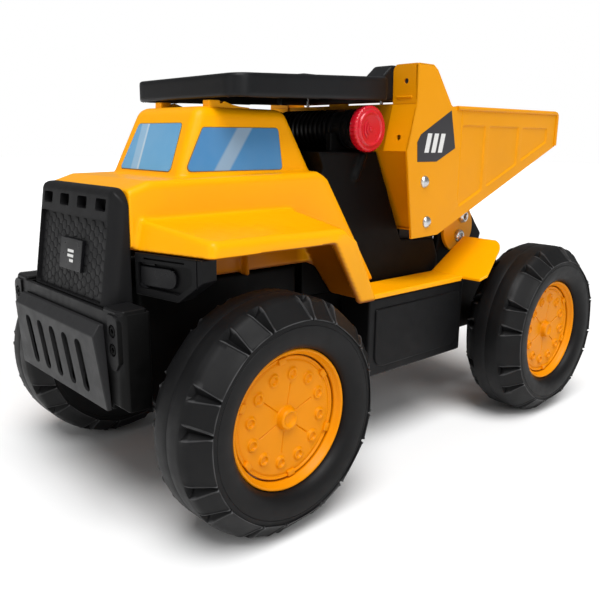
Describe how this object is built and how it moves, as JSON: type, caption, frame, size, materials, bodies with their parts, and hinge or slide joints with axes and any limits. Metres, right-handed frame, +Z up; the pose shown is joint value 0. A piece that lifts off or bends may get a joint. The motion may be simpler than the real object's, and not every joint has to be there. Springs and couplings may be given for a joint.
{
  "type": "push along dump truck",
  "caption": "Push-along toy dump truck with free-rolling wheels, a moulded cab, a canopy-fronted tipping bed on a hinge pin and a sprung round push button.",
  "frame": {"origin": "on the ground, at the middle of the truck's box in plan", "axes": "+X forward along the truck's length, +Y to the truck's left, +Z up"},
  "size_m": [0.573, 0.313, 0.352],
  "materials": {
    "yellow_plastic": "semi-gloss moulded polyethylene with fine mould grain",
    "yellow_sheet": "semi-gloss painted sheet steel",
    "black_plastic": "satin moulded plastic",
    "tyre": "blow-moulded matt plastic tyre",
    "blue_window": "glossy pale blue window panel with paler diagonal streaks",
    "red_plastic": "glossy moulded plastic",
    "zinc_steel": "zinc-plated",
    "dark_gloss": "glossy",
    "decal_film": "printed vinyl film, plain dark field",
    "soft_pad": "matt"
  },
  "bodies": {
    "truck": {"chassis": "black_plastic", "engine_body": "black_plastic", "side_box_left": "black_plastic", "side_box_right": "black_plastic", "step_left": "yellow_plastic", "step_right": "yellow_plastic", "cab_body": "yellow_plastic", "windshield": "blue_window", "side_window_left": "blue_window", "side_window_right": "blue_window", "grille": "black_plastic", "grille_badge": "dark_gloss", "front_bumper": "black_plastic", "skid_plate": "black_plastic", "bumper_bolts": "black_plastic", "headlight_left": "black_plastic", "headlight_right": "black_plastic", "lamp_lens_left": "dark_gloss", "lamp_lens_right": "dark_gloss", "air_tube": "black_plastic", "tube_end_cap": "black_plastic", "button_spring": "zinc_steel", "button_switch": "black_plastic", "hinge_pin": "zinc_steel", "pin_caps": "zinc_steel", "bed_rest_pads": "soft_pad", "axle_front": "zinc_steel", "axle_rear": "zinc_steel", "axle_washers": "zinc_steel", "axle_nuts": "zinc_steel", "chassis_screws": "zinc_steel"},
    "bed": {"canopy": "black_plastic", "canopy_screws": "zinc_steel", "bed_side_left": "yellow_sheet", "bed_side_right": "yellow_sheet", "headboard": "yellow_sheet", "bed_floor": "yellow_sheet", "hinge_lug_left": "yellow_sheet", "hinge_lug_right": "yellow_sheet", "bed_rivets": "zinc_steel", "decal_left": "decal_film", "decal_right": "decal_film"},
    "button": {"push_button": "red_plastic"},
    "wheel_front_left": {"tyre_front_left": "tyre", "rim_front_left": "yellow_plastic", "disc_front_left": "yellow_plastic"},
    "wheel_front_right": {"tyre_front_right": "tyre", "rim_front_right": "yellow_plastic", "disc_front_right": "yellow_plastic"},
    "wheel_rear_left": {"tyre_rear_left": "tyre", "rim_rear_left": "yellow_plastic", "disc_rear_left": "yellow_plastic"},
    "wheel_rear_right": {"tyre_rear_right": "tyre", "rim_rear_right": "yellow_plastic", "disc_rear_right": "yellow_plastic"}
  },
  "joints": [
    {"name": "bed_tilt", "type": "hinge", "parent": "truck", "child": "bed", "pos_m": [-0.1435, 0, 0.187], "axis": [0, -1, 0], "range_deg": [0, 50]},
    {"name": "button_press", "type": "slide", "parent": "truck", "child": "button", "axis": [0, -1, 0], "range_m": [0, 0.003], "stiffness_N_per_m": 300, "springref_m": -0.002},
    {"name": "front_left_roll", "type": "hinge", "parent": "truck", "child": "wheel_front_left", "pos_m": [0.1765, 0.1245, 0.09], "axis": [0, 1, 0], "continuous": true},
    {"name": "front_right_roll", "type": "hinge", "parent": "truck", "child": "wheel_front_right", "pos_m": [0.1765, -0.1245, 0.09], "axis": [0, 1, 0], "continuous": true},
    {"name": "rear_left_roll", "type": "hinge", "parent": "truck", "child": "wheel_rear_left", "pos_m": [-0.1965, 0.1245, 0.09], "axis": [0, 1, 0], "continuous": true},
    {"name": "rear_right_roll", "type": "hinge", "parent": "truck", "child": "wheel_rear_right", "pos_m": [-0.1965, -0.1245, 0.09], "axis": [0, 1, 0], "continuous": true}
  ]
}
